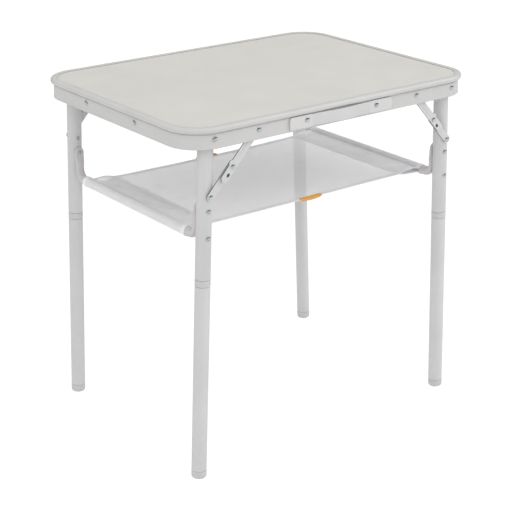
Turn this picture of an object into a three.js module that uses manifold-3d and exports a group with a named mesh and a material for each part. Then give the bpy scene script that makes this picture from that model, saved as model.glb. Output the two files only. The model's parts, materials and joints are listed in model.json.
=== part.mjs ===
// A folding camp kitchen table: a thin panel in a metal rim, two pairs of splayed tube legs that fold
// in under the top on locking knee braces, plug-in lower legs, and a cloth shelf between two bent bars.
// Millimetres, +X along the long side, -Y the front with the carry handle, +Z up, feet on z = 0.
import * as THREE from "three";
import { mergeVertices } from "three/addons/utils/BufferGeometryUtils.js";
import Module from "manifold-3d";

const wasm = await Module();
wasm.setup();

// ---------------------------------------------------------------- driving dimensions

const GAP = 0.3; // left between pieces that touch

const TOP_LENGTH = 600;
const TOP_WIDTH = 450;
const TOP_HEIGHT = 600;
const TOP_CORNER = 60; // radius of the lip's outer corner, seen from above

const RIM_HEIGHT = 34;
const LIP_HEIGHT = 10;
const LIP_OVERHANG = 5; // the lip stands this far out from the band below it
const LIP_FLANGE = 12; // the lip's width, seen from above
const LIP_ROUND = 4;
const GROOVE_WALL = 1.2; // thickness of the two flanges that hold the panel
const BAND_WALL = 1.6;
const BEAD_RADIUS = 1.5; // the band's rounded lower edge
const PANEL_THICKNESS = 3.5;

const TUBE_RADIUS = 12.5;
const TUBE_WALL = 1.2;
const LEG_Y = 195; // leg centre line, from the middle of the table
const PIVOT_X = 247.5;
const PIVOT_EASE = 2.3; // the leg pivot's bush stops short, because the rim's corner begins there
const PIVOT_DROP = 18.2; // leg pivot below the top of the lip
const FOOT_SPREAD = 24; // the foot stands this far outside its pivot
const UPPER_LEG_REACH = 242.4; // pivot to the lower end of the collar
const COLLAR_HEIGHT = 11;
const SLEEVE_RADIUS = 11; // the collar's sleeve, inside the upper leg
const SLEEVE_HEIGHT = 18;
const SPIGOT_RADIUS = 9.3;
const SPIGOT_HEIGHT = 35;
const FOOT_HEIGHT = 14;
const FOOT_ROUND = 4;
const FOOT_STEM = 12;

const BRACE_RISE_X = 82.5; // from the leg pivot to the brace pivot on the rim
const BRACE_ON_LEG = 94; // from the leg pivot down the leg to the brace rivet
const LINK_THICKNESS = 1.8;
const UPPER_LINK_HALF = 7;
const LOWER_LINK_HALF = 6.5;
const LINK_TAIL = 22; // the upper link runs on this far past the middle rivet
const LOWER_LINK_LIFT = 2.3; // from the leg's outer side to the lower link
const LINK_STEP = 2.3; // from the lower link to the upper link
const RIB_HEIGHT = 0.9;
const RIB_HALF = 2.2;
const RIB_START = 16; // the rib runs between these distances from the upper link's two pivots
const RIB_END = 20;
const DETENT_PAST_KNEE = 15;
const DETENT_ASIDE = 1.8;
const DETENT_RADIUS = 1.9;
const FINGER_TAB_HALF = 3.5;
const FINGER_TAB_RISE = 1.5; // how far the middle of the finger tab stands off the link's edge

const BAR_RADIUS = 8;
const BAR_WALL = 1.2;
const BAR_BEND = 18;
const BAR_REACH = 164.4; // from the leg pivot down to the bar's cross run
const BAR_RIVET_REACH = 118; // from the leg pivot down to the bar's upper rivet
const BAR_LOW_RIVET_REACH = 162;
const BAR_FLAT_HALF = 2.5; // half thickness of the bar's flattened end
// half widths of the flattened end, at heights above its rivet
const BAR_PADDLE = [[8.5, 3.5], [6, 7.5], [0, 9.5], [-6, 9.5]];
const BAR_FLARE = 20; // from that rivet down to where the bar is round
const BAR_BEND_STEPS = 4;

const RIVET_RADIUS = 2.6;
const HOLE_RADIUS = RIVET_RADIUS + GAP;
const HEAD_RADIUS = 4.2;
const HEAD_HEIGHT = 1.7;
const TAIL_RADIUS = 3.6;
const TAIL_HEIGHT = 1.2;
const BUSH_RADIUS = 5.5;

const HANDLE_LENGTH = 213;
const HANDLE_HEIGHT = 21;
const HANDLE_THICKNESS = 3;
const HANDLE_BOW = 6; // how far the handle's middle stands off the band
const HANDLE_FLAT = 52; // length of each end that lies on the band
const HANDLE_RIVET_X = 72.5;
const HANDLE_CORNER = 4;

const RAIL_Y = 72.5;
const RAIL_WIDTH = 20;
const RAIL_THICKNESS = 2.5;
const RAIL_TAB = 20;

const CLOTH = 1.2; // thickness of the shelf cloth
const SEAM_INSET = 50; // from the bar's centre line to the sleeve seam
const SEAM_WIDTH = 4; // the two layers of the sleeve are sewn together over this width
const CLOTH_HALF_AT_BAR = 154;
const CLOTH_HALF_AT_MIDDLE = 146;
const TAB_LENGTH = 48;
const TAB_DROP = 5.5;
const TAB_REACH = 5;

const TUBE_SIDES = 16;
const BAR_SIDES = 10;
const RIVET_SIDES = 8;
const BOW_STEPS = 5; // facets along half a bowed edge
const CORNER_STEPS = 6; // facets round a quarter turn of the rim
const SLEEVE_STEPS = 6;
const ARC_SEGMENTS = CORNER_STEPS / 2; // the same for a Shape's arcs, which are cut twice as fine

// ---------------------------------------------------------------- sizes that follow from them

const PIVOT_Z = TOP_HEIGHT - PIVOT_DROP;
const SPLAY = Math.atan(FOOT_SPREAD / PIVOT_Z);
const BAND_Y = TOP_WIDTH / 2 - LIP_OVERHANG; // outer face of the band on a long side
const BAND_X = TOP_LENGTH / 2 - LIP_OVERHANG;
const BAND_INSIDE = BAND_WALL + GAP;
const PANEL_TOP = TOP_HEIGHT - GROOVE_WALL - GAP;
const GROOVE_BOTTOM = PANEL_TOP - PANEL_THICKNESS - GAP;
const FOOT_FLAT = TUBE_RADIUS - FOOT_ROUND;
// the foot's rounded edge, not its tilted middle, is the lowest point
const FOOT_REACH = (PIVOT_Z - FOOT_FLAT * Math.sin(SPLAY) - FOOT_ROUND) / Math.cos(SPLAY) + FOOT_ROUND;
const OUTER_SIDE = LEG_Y + TUBE_RADIUS;
const INNER_SIDE = LEG_Y - TUBE_RADIUS;
const LOWER_LINK_Y = OUTER_SIDE + LOWER_LINK_LIFT;
const UPPER_LINK_Y = LOWER_LINK_Y + LINK_THICKNESS + LINK_STEP;
// the knee is straight when the leg stands, and folds flat beside the leg when the leg lies level
const BRACE_SPAN = Math.hypot(
  BRACE_RISE_X + BRACE_ON_LEG * Math.sin(SPLAY),
  BRACE_ON_LEG * Math.cos(SPLAY),
);
const UPPER_LINK = (BRACE_SPAN + BRACE_ON_LEG - BRACE_RISE_X) / 2;
const LOWER_LINK = BRACE_SPAN - UPPER_LINK;
const BRACE_ANGLE = Math.atan2(
  BRACE_ON_LEG * Math.cos(SPLAY),
  BRACE_RISE_X + BRACE_ON_LEG * Math.sin(SPLAY),
);
const BAR_X = PIVOT_X + BAR_REACH * Math.sin(SPLAY);
const BAR_Z = PIVOT_Z - BAR_REACH * Math.cos(SPLAY);
const HANDLE_BEYOND_LIP = HANDLE_BOW + HANDLE_THICKNESS + GAP - LIP_OVERHANG;

// ---------------------------------------------------------------- materials

function material(color, roughness, metalness) {
  return new THREE.MeshStandardMaterial({ color, roughness, metalness });
}

const laminate = material(0xd3d2cb, 0.6, 0);
const coatedMetal = material(0xcfcfcf, 0.45, 0.1);
const whitePlastic = material(0xdad9da, 0.4, 0);
const warmPlastic = material(0xd2cdcb, 0.5, 0);
const zinc = material(0x9aa5a8, 0.3, 1);
const meshCloth = material(0xe2e2e6, 0.9, 0);
const orangeWebbing = material(0xe1962f, 0.8, 0);

// ---------------------------------------------------------------- shape helpers

function solid(geometry) {
  const plain = new THREE.BufferGeometry();
  const source = geometry.index ? geometry.toNonIndexed() : geometry;
  plain.setAttribute("position", source.getAttribute("position").clone());
  const merged = mergeVertices(plain, 1e-4);
  const vertProperties = merged.getAttribute("position").array;
  const triVerts = new Uint32Array(merged.index.array);
  return new wasm.Manifold(new wasm.Mesh({ numProp: 3, vertProperties, triVerts }));
}

function geometryOf(body) {
  const { vertProperties, triVerts } = body.getMesh();
  const geometry = new THREE.BufferGeometry();
  geometry.setAttribute("position", new THREE.Float32BufferAttribute(vertProperties, 3));
  geometry.setIndex([...triVerts]);
  return geometry;
}

function joined(first, ...others) {
  return geometryOf(others.reduce((body, other) => body.add(solid(other)), solid(first)));
}

function cut(first, ...others) {
  return geometryOf(others.reduce((body, other) => body.subtract(solid(other)), solid(first)));
}

function common(first, second) {
  return geometryOf(solid(first).intersect(solid(second)));
}

// A closed surface from rows of points, joined row to row and end to end both ways.
function closedGrid(rows) {
  const across = rows[0].length;
  const index = [];
  rows.forEach((row, i) => {
    const here = i * across;
    const next = ((i + 1) % rows.length) * across;
    for (let j = 0; j < across; j += 1) {
      const k = (j + 1) % across;
      index.push(here + j, next + j, next + k, here + j, next + k, here + k);
    }
  });
  return new THREE.BufferGeometry().setFromPoints(rows.flat()).setIndex(index);
}

// A profile of [radius, height] pairs turned about +Z.
function turned(profile, sides) {
  const points = profile.map(([radius, height]) => new THREE.Vector2(radius, height));
  return new THREE.LatheGeometry(points, sides).rotateX(Math.PI / 2);
}

// The same about +Y.
function turnedAcross(profile, sides = RIVET_SIDES) {
  const points = profile.map(([radius, height]) => new THREE.Vector2(radius, height));
  return new THREE.LatheGeometry(points, sides);
}

// A round hole along Y, at x, z.
function holeAlongY(x, z, radius = HOLE_RADIUS, y = 0, length = 40) {
  return new THREE.CylinderGeometry(radius, radius, length, RIVET_SIDES).translate(x, y, z);
}

// A rounded rectangle centred on the origin.
function roundedRectangle(halfX, halfY, radius) {
  const shape = new THREE.Shape();
  [[1, 1], [-1, 1], [-1, -1], [1, -1]].forEach(([sx, sy], quarter) => {
    const start = (quarter * Math.PI) / 2;
    shape.absarc(sx * (halfX - radius), sy * (halfY - radius), radius, start, start + Math.PI / 2, false);
  });
  return shape;
}

// A flat outline in X, Z made solid from y = from to y = to.
function slab(shape, from, to, curveSegments = ARC_SEGMENTS) {
  const depth = to - from;
  const geometry = new THREE.ExtrudeGeometry(shape, { depth, bevelEnabled: false, curveSegments });
  return geometry.rotateX(Math.PI / 2).translate(0, to, 0);
}

// A link's outline: a bar with round ends about (0, 0) and (length, 0), which runs on by tail.
function linkOutline(length, half, tail = 0) {
  const shape = new THREE.Shape();
  shape.absarc(0, 0, half, Math.PI / 2, (3 * Math.PI) / 2, false);
  shape.absarc(length + tail, 0, half, -Math.PI / 2, Math.PI / 2, false);
  return shape;
}

// A copy mirrored in X and in Y as the two signs say.
function mirrored(geometry, signX, signY) {
  const copy = geometry.index ? geometry.toNonIndexed() : geometry.clone();
  copy.scale(signX, signY, 1);
  if (signX * signY < 0) {
    const position = copy.getAttribute("position");
    const corner = new THREE.Vector3();
    const other = new THREE.Vector3();
    for (let i = 0; i < position.count; i += 3) {
      corner.fromBufferAttribute(position, i + 1);
      other.fromBufferAttribute(position, i + 2);
      position.setXYZ(i + 1, other.x, other.y, other.z);
      position.setXYZ(i + 2, corner.x, corner.y, corner.z);
    }
  }
  return copy;
}

// A domed rivet head that sits on height `from`, as the outer end of a profile.
const dome = (from) => [
  [HEAD_RADIUS, from],
  [HEAD_RADIUS * 0.9, from + HEAD_HEIGHT * 0.55],
  [HEAD_RADIUS * 0.45, from + HEAD_HEIGHT],
  [0, from + HEAD_HEIGHT],
];

// ---------------------------------------------------------------- the object

const table = new THREE.Group();
// the handle stands out at the front, so the table sits back by half of that
table.position.y = HANDLE_BEYOND_LIP / 2;

function add(parent, name, geometry, surface) {
  const mesh = new THREE.Mesh(geometry, surface);
  mesh.name = name;
  parent.add(mesh);
  return mesh;
}

function groupAt(parent, x, y, z) {
  const group = new THREE.Group();
  group.position.set(x, y, z);
  parent.add(group);
  return group;
}

// ------------------------------------------------------------ top

function panel() {
  const inset = LIP_OVERHANG + BAND_INSIDE;
  const outline = roundedRectangle(TOP_LENGTH / 2 - inset, TOP_WIDTH / 2 - inset, TOP_CORNER - inset);
  const settings = { depth: PANEL_THICKNESS, bevelEnabled: false, curveSegments: ARC_SEGMENTS };
  const board = new THREE.ExtrudeGeometry(outline, settings);
  add(table, "top_panel", board.translate(0, 0, PANEL_TOP - PANEL_THICKNESS), laminate);
}

// The rim's section as [distance outward from the lip's edge, height above the lip's top].
function rimSection() {
  const band = -LIP_OVERHANG;
  const wall = band - BAND_WALL;
  const grooveTop = -GROOVE_WALL;
  const grooveFloor = GROOVE_BOTTOM - TOP_HEIGHT;
  const beadX = band - BEAD_RADIUS;
  const beadZ = BEAD_RADIUS - RIM_HEIGHT;
  const arc = (x, z, radius, from, to, steps) => Array.from({ length: steps + 1 }, (_, i) => {
    const angle = from + ((to - from) * i) / steps;
    return [x + radius * Math.cos(angle), z + radius * Math.sin(angle)];
  });
  return [
    [band, -LIP_HEIGHT],
    [-1, -LIP_HEIGHT],
    [0, 1 - LIP_HEIGHT],
    ...arc(-LIP_ROUND, -LIP_ROUND, LIP_ROUND, 0, Math.PI / 2, 3),
    [-LIP_FLANGE, 0],
    [-LIP_FLANGE, grooveTop],
    [wall, grooveTop],
    [wall, grooveFloor],
    [-LIP_FLANGE, grooveFloor],
    [-LIP_FLANGE, grooveFloor - GROOVE_WALL],
    [wall, grooveFloor - GROOVE_WALL],
    [wall, beadZ + BEAD_RADIUS],
    ...arc(beadX, beadZ, BEAD_RADIUS, Math.PI, 2 * Math.PI, 4),
  ];
}

function rim() {
  const rows = [];
  [[1, 1], [-1, 1], [-1, -1], [1, -1]].forEach(([sx, sy], quarter) => {
    for (let step = 0; step <= CORNER_STEPS; step += 1) {
      const angle = ((quarter + step / CORNER_STEPS) * Math.PI) / 2;
      rows.push(rimSection().map(([out, up]) => new THREE.Vector3(
        sx * (TOP_LENGTH / 2 - TOP_CORNER) + (TOP_CORNER + out) * Math.cos(angle),
        sy * (TOP_WIDTH / 2 - TOP_CORNER) + (TOP_CORNER + out) * Math.sin(angle),
        TOP_HEIGHT + up,
      )));
    }
  });
  const holes = [];
  for (const side of [-1, 1]) {
    for (const row of [-1, 1]) {
      for (const x of [PIVOT_X, PIVOT_X - BRACE_RISE_X]) {
        holes.push(holeAlongY(side * x, PIVOT_Z, HOLE_RADIUS, row * BAND_Y, 10));
      }
      holes.push(holeAlongY(0, 0, HOLE_RADIUS, 0, 10).rotateZ(Math.PI / 2)
        .translate(side * BAND_X, row * RAIL_Y, PIVOT_Z));
    }
    holes.push(holeAlongY(side * HANDLE_RIVET_X, PIVOT_Z, HOLE_RADIUS, -BAND_Y, 10));
  }
  add(table, "rim", cut(closedGrid(rows), ...holes), coatedMetal);
}

// A stiffening rail under the panel, with a tab at each end riveted to the short side of the rim.
function rail(name, y) {
  const top = GROOVE_BOTTOM - GROOVE_WALL - GAP;
  const end = BAND_X - BAND_INSIDE;
  const outline = new THREE.Shape([
    [-end, top - RAIL_TAB], [RAIL_THICKNESS - end, top - RAIL_TAB],
    [RAIL_THICKNESS - end, top - RAIL_THICKNESS], [end - RAIL_THICKNESS, top - RAIL_THICKNESS],
    [end - RAIL_THICKNESS, top - RAIL_TAB], [end, top - RAIL_TAB],
    [end, top], [-end, top],
  ].map(([x, z]) => new THREE.Vector2(x, z)));
  const rivetProfile = [
    [0, end - RAIL_THICKNESS - TAIL_HEIGHT],
    [TAIL_RADIUS, end - RAIL_THICKNESS - TAIL_HEIGHT],
    [TAIL_RADIUS, end - RAIL_THICKNESS / 2],
    [RIVET_RADIUS, end - RAIL_THICKNESS / 2],
    [RIVET_RADIUS, BAND_X + GAP],
    ...dome(BAND_X + GAP),
  ];
  const rivets = [-1, 1].map((side) => turnedAcross(rivetProfile)
    .rotateZ((-side * Math.PI) / 2).translate(0, 0, PIVOT_Z));
  const bar = slab(outline, -RAIL_WIDTH / 2, RAIL_WIDTH / 2);
  add(table, name, joined(bar, ...rivets), zinc).position.y = y;
}

// A strap whose two ends lie on the band and whose middle is bowed off it.
function handle() {
  const half = HANDLE_LENGTH / 2;
  const flat = half - HANDLE_FLAT;
  const inner = -(BAND_Y + GAP);
  const outer = inner - HANDLE_THICKNESS;
  const plan = new THREE.Shape();
  plan.moveTo(-half, inner);
  plan.lineTo(-half, outer);
  plan.lineTo(-flat, outer);
  plan.bezierCurveTo(-flat / 2, outer, -flat / 2, outer - HANDLE_BOW, 0, outer - HANDLE_BOW);
  plan.bezierCurveTo(flat / 2, outer - HANDLE_BOW, flat / 2, outer, flat, outer);
  plan.lineTo(half, outer);
  plan.lineTo(half, inner);
  plan.lineTo(flat, inner);
  plan.bezierCurveTo(flat / 2, inner, flat / 2, inner - HANDLE_BOW, 0, inner - HANDLE_BOW);
  plan.bezierCurveTo(-flat / 2, inner - HANDLE_BOW, -flat / 2, inner, -flat, inner);
  const top = TOP_HEIGHT - LIP_HEIGHT - GAP;
  const settings = { depth: HANDLE_HEIGHT, bevelEnabled: false, curveSegments: BOW_STEPS };
  const strap = new THREE.ExtrudeGeometry(plan, settings).translate(0, 0, top - HANDLE_HEIGHT);
  const face = slab(roundedRectangle(half, HANDLE_HEIGHT / 2, HANDLE_CORNER), -TOP_WIDTH, 0)
    .translate(0, 0, top - HANDLE_HEIGHT / 2);
  const holes = [-1, 1].map((side) => holeAlongY(side * HANDLE_RIVET_X, PIVOT_Z, HOLE_RADIUS, -BAND_Y, 30));
  add(table, "handle", cut(common(strap, face), ...holes), whitePlastic);

  const profile = [
    [0, BAND_Y - BAND_INSIDE - TAIL_HEIGHT],
    [TAIL_RADIUS, BAND_Y - BAND_INSIDE - TAIL_HEIGHT],
    [TAIL_RADIUS, BAND_Y - BAND_INSIDE],
    [RIVET_RADIUS, BAND_Y - BAND_INSIDE],
    [RIVET_RADIUS, -outer + GAP],
    ...dome(-outer + GAP),
  ];
  for (const [side, x] of [["left", -HANDLE_RIVET_X], ["right", HANDLE_RIVET_X]]) {
    const rivet = add(table, `handle_rivet_${side}`, turnedAcross(profile), zinc);
    rivet.rotation.z = Math.PI;
    rivet.position.set(x, 0, PIVOT_Z);
  }
}

// ------------------------------------------------------------ legs

// A round tube down the leg, with the pivot at the origin.
function legTube(from, to, ...inside) {
  const profile = [
    [TUBE_RADIUS - TUBE_WALL, to],
    [TUBE_RADIUS, to],
    [TUBE_RADIUS, from],
    ...inside,
    [TUBE_RADIUS - TUBE_WALL, inside.length ? from - 2 * TUBE_WALL : from],
    [TUBE_RADIUS - TUBE_WALL, to],
  ];
  return turned(profile, TUBE_SIDES);
}

function upperLeg() {
  const end = -(UPPER_LEG_REACH - COLLAR_HEIGHT - GAP);
  const size = 4 * TUBE_RADIUS;
  const above = new THREE.BoxGeometry(size, size, size).translate(0, 0, size / 2);
  const round = new THREE.CylinderGeometry(TUBE_RADIUS, TUBE_RADIUS, 2 * size, 2 * TUBE_SIDES);
  const reaches = [0, BRACE_ON_LEG, BAR_RIVET_REACH, BAR_LOW_RIVET_REACH];
  return cut(
    legTube(TUBE_RADIUS + 1, end), // this stands a little above the rounded top that it is cut to
    cut(above, round),
    ...reaches.map((reach) => holeAlongY(0, -reach)),
  );
}

function collar() {
  const low = -UPPER_LEG_REACH;
  const high = low + COLLAR_HEIGHT;
  const bore = SPIGOT_RADIUS + GAP;
  return turned([
    [bore, low],
    [TUBE_RADIUS, low],
    [TUBE_RADIUS, high],
    [SLEEVE_RADIUS, high],
    [SLEEVE_RADIUS, high + SLEEVE_HEIGHT],
    [bore, high + SLEEVE_HEIGHT],
    [bore, low],
  ], TUBE_SIDES);
}

function lowerLeg() {
  const shoulder = -(UPPER_LEG_REACH + GAP);
  const end = -(FOOT_REACH - FOOT_HEIGHT - GAP);
  return legTube(
    shoulder,
    end,
    [SPIGOT_RADIUS, shoulder],
    [SPIGOT_RADIUS, shoulder + SPIGOT_HEIGHT],
    [SPIGOT_RADIUS - TUBE_WALL, shoulder + SPIGOT_HEIGHT],
    [SPIGOT_RADIUS - TUBE_WALL, shoulder - 2 * TUBE_WALL],
  );
}

function foot() {
  const low = -FOOT_REACH;
  const edge = [0, 1, 2, 3].map((step) => {
    const angle = (step / 3) * (Math.PI / 2);
    return [FOOT_FLAT + FOOT_ROUND * Math.sin(angle), low + FOOT_ROUND * (1 - Math.cos(angle))];
  });
  const stem = TUBE_RADIUS - TUBE_WALL - GAP;
  return turned([
    [0, low],
    ...edge,
    [TUBE_RADIUS, low + FOOT_HEIGHT],
    [stem, low + FOOT_HEIGHT],
    [stem, low + FOOT_HEIGHT + FOOT_STEM],
    [0, low + FOOT_HEIGHT + FOOT_STEM],
  ], TUBE_SIDES);
}

// The pin that a leg turns on: head outside the rim, a spacer bush between rim and leg, tail inside.
const legPivotProfile = () => [
  [0, INNER_SIDE - GAP - TAIL_HEIGHT],
  [TAIL_RADIUS, INNER_SIDE - GAP - TAIL_HEIGHT],
  [TAIL_RADIUS, INNER_SIDE - GAP],
  [RIVET_RADIUS, INNER_SIDE - GAP],
  [RIVET_RADIUS, OUTER_SIDE + GAP],
  [BUSH_RADIUS, OUTER_SIDE + GAP],
  [BUSH_RADIUS, BAND_Y - BAND_INSIDE - PIVOT_EASE],
  [RIVET_RADIUS, BAND_Y - BAND_INSIDE - PIVOT_EASE],
  [RIVET_RADIUS, BAND_Y + GAP],
  ...dome(BAND_Y + GAP),
];

// The pin that the upper link turns on.
const bracePivotProfile = () => [
  [0, UPPER_LINK_Y - GAP - TAIL_HEIGHT],
  [TAIL_RADIUS, UPPER_LINK_Y - GAP - TAIL_HEIGHT],
  [TAIL_RADIUS, UPPER_LINK_Y - GAP],
  [RIVET_RADIUS, UPPER_LINK_Y - GAP],
  [RIVET_RADIUS, UPPER_LINK_Y + LINK_THICKNESS + GAP],
  [BUSH_RADIUS, UPPER_LINK_Y + LINK_THICKNESS + GAP],
  [BUSH_RADIUS, BAND_Y - BAND_INSIDE],
  [RIVET_RADIUS, BAND_Y - BAND_INSIDE],
  [RIVET_RADIUS, BAND_Y + GAP],
  ...dome(BAND_Y + GAP),
];

// The rivet in the upper link's knee. It stops short of the lower link.
const kneeRivetProfile = () => [
  [0, UPPER_LINK_Y - GAP - TAIL_HEIGHT],
  [TAIL_RADIUS, UPPER_LINK_Y - GAP - TAIL_HEIGHT],
  [TAIL_RADIUS, UPPER_LINK_Y - GAP],
  [RIVET_RADIUS, UPPER_LINK_Y - GAP],
  [RIVET_RADIUS, UPPER_LINK_Y + LINK_THICKNESS + GAP],
  ...dome(UPPER_LINK_Y + LINK_THICKNESS + GAP),
];

// The rivet that holds the lower link off the leg on a spacer washer.
const braceLegRivetProfile = () => [
  [0, INNER_SIDE - GAP - TAIL_HEIGHT],
  [TAIL_RADIUS, INNER_SIDE - GAP - TAIL_HEIGHT],
  [TAIL_RADIUS, INNER_SIDE - GAP],
  [RIVET_RADIUS, INNER_SIDE - GAP],
  [RIVET_RADIUS, OUTER_SIDE + GAP],
  [BUSH_RADIUS, OUTER_SIDE + GAP],
  [BUSH_RADIUS, LOWER_LINK_Y - GAP],
  [RIVET_RADIUS, LOWER_LINK_Y - GAP],
  [RIVET_RADIUS, LOWER_LINK_Y + LINK_THICKNESS + GAP],
  ...dome(LOWER_LINK_Y + LINK_THICKNESS + GAP),
];

// Upper link of the knee, from the rim pivot at the origin along +X.
function upperLink() {
  const plate = slab(linkOutline(UPPER_LINK, UPPER_LINK_HALF, LINK_TAIL), 0, LINK_THICKNESS);
  const ribOutline = linkOutline(UPPER_LINK - RIB_START - RIB_END, RIB_HALF);
  const rib = slab(ribOutline, LINK_THICKNESS / 2, LINK_THICKNESS + RIB_HEIGHT).translate(RIB_START, 0, 0);
  // a small finger tab on the upper edge beside the knee
  const tabOutline = roundedRectangle(FINGER_TAB_HALF, FINGER_TAB_HALF, FINGER_TAB_HALF / 2);
  const tab = slab(tabOutline, 0, LINK_THICKNESS)
    .translate(UPPER_LINK - FINGER_TAB_HALF, 0, UPPER_LINK_HALF + FINGER_TAB_RISE - FINGER_TAB_HALF / 2);
  const detent = holeAlongY(UPPER_LINK + DETENT_PAST_KNEE, -DETENT_ASIDE, DETENT_RADIUS);
  return cut(joined(plate, rib, tab), holeAlongY(0, 0), holeAlongY(UPPER_LINK, 0), detent);
}

// Lower link of the knee, from the knee at the origin along +X.
function lowerLink() {
  const plate = slab(linkOutline(LOWER_LINK, LOWER_LINK_HALF), 0, LINK_THICKNESS);
  return cut(plate, holeAlongY(0, 0), holeAlongY(LOWER_LINK, 0));
}

// The bent bar that joins a pair of legs, in the pair's own frame with the pivot line at the origin.
function shelfBar() {
  const armY = INNER_SIDE - GAP - BAR_RADIUS;
  const flatY = INNER_SIDE - GAP - BAR_FLAT_HALF;
  const arm = BAR_PADDLE.map(([rise, wide]) => ({
    y: flatY,
    z: rise - BAR_RIVET_REACH,
    turn: 0,
    thick: BAR_FLAT_HALF,
    wide,
  }));
  const round = { turn: 0, thick: BAR_RADIUS, wide: BAR_RADIUS };
  arm.push({ ...round, y: armY, z: -BAR_RIVET_REACH - BAR_FLARE });
  for (let step = 0; step <= BAR_BEND_STEPS; step += 1) {
    const turn = (step / BAR_BEND_STEPS) * (Math.PI / 2);
    const y = armY - BAR_BEND * (1 - Math.cos(turn));
    arm.push({ ...round, y, z: -BAR_REACH + BAR_BEND * (1 - Math.sin(turn)), turn });
  }
  const back = [...arm].reverse().map((s) => ({ ...s, y: -s.y, turn: Math.PI - s.turn }));
  const stations = [...arm, ...back];
  const ring = ({ y, z, turn, thick, wide }, wall) => Array.from({ length: BAR_SIDES }, (_, i) => {
    const angle = (-2 * Math.PI * i) / BAR_SIDES;
    const out = (thick - wall) * Math.cos(angle);
    return new THREE.Vector3(
      (wide - wall) * Math.sin(angle),
      y + out * Math.cos(turn),
      z - out * Math.sin(turn),
    );
  });
  const outside = stations.map((s) => ring(s, 0));
  const inside = stations.map((s) => ring(s, BAR_WALL)).reverse();
  const bar = closedGrid([...outside, ...inside]);
  const pins = [];
  for (const row of [-1, 1]) {
    const innerEnds = [
      [BAR_RIVET_REACH, flatY - BAR_FLAT_HALF - TAIL_HEIGHT],
      [BAR_LOW_RIVET_REACH, armY],
    ];
    for (const [reach, end] of innerEnds) {
      const profile = [
        [0, end],
        [RIVET_RADIUS, end],
        [RIVET_RADIUS, OUTER_SIDE + GAP],
        ...dome(OUTER_SIDE + GAP),
      ];
      const pin = turnedAcross(profile);
      pins.push((row < 0 ? pin.rotateZ(Math.PI) : pin).translate(0, 0, -reach));
    }
  }
  return joined(bar, ...pins);
}

function legPair(sideName, side) {
  const frame = groupAt(table, side * PIVOT_X, 0, PIVOT_Z);
  frame.rotation.y = -side * SPLAY;
  add(frame, `${sideName}_shelf_bar`, shelfBar(), warmPlastic);

  for (const [rowName, row] of [["front", -1], ["back", 1]]) {
    const name = (piece) => `${sideName}_${rowName}_${piece}`;
    const leg = groupAt(frame, 0, row * LEG_Y, 0);
    add(leg, name("upper_leg"), upperLeg(), coatedMetal);
    add(leg, name("collar"), collar(), warmPlastic);
    add(leg, name("lower_leg"), lowerLeg(), coatedMetal);
    add(leg, name("foot"), foot(), warmPlastic);

    // pins run along Y with their heads outward, so the front ones are turned round
    const pin = (piece, profile, x, z) => {
      const rivet = add(table, name(piece), turnedAcross(profile), zinc);
      rivet.rotation.z = row < 0 ? Math.PI : 0;
      rivet.position.set(side * x, 0, z);
    };
    const onLegX = PIVOT_X + BRACE_ON_LEG * Math.sin(SPLAY);
    const onLegZ = PIVOT_Z - BRACE_ON_LEG * Math.cos(SPLAY);
    const rimX = PIVOT_X - BRACE_RISE_X;
    const kneeX = rimX + UPPER_LINK * Math.cos(BRACE_ANGLE);
    const kneeZ = PIVOT_Z - UPPER_LINK * Math.sin(BRACE_ANGLE);
    pin("leg_pivot", legPivotProfile(), PIVOT_X, PIVOT_Z);
    pin("brace_pivot", bracePivotProfile(), rimX, PIVOT_Z);
    pin("knee_rivet", kneeRivetProfile(), kneeX, kneeZ);
    pin("brace_leg_rivet", braceLegRivetProfile(), onLegX, onLegZ);

    // the links lie in planes outside the leg; each is drawn for the back right and mirrored in place
    const link = (piece, geometry, x, y, z) => {
      const plate = geometry.rotateY(BRACE_ANGLE).translate(x, y, z);
      add(table, name(piece), mirrored(plate, side, row), coatedMetal);
    };
    link("upper_link", upperLink(), rimX, UPPER_LINK_Y, PIVOT_Z);
    link("lower_link", lowerLink(), kneeX, LOWER_LINK_Y, kneeZ);
  }
}

// ------------------------------------------------------------ shelf

// The point where a line from (apexX, apexZ) touches a circle at (BAR_X, 0), as an angle on it.
function tangentAngle(apexX, apexZ, radius) {
  const reach = Math.hypot(BAR_X - apexX, apexZ);
  return Math.PI - Math.acos(radius / reach) - Math.atan2(apexZ, BAR_X - apexX);
}

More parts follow.
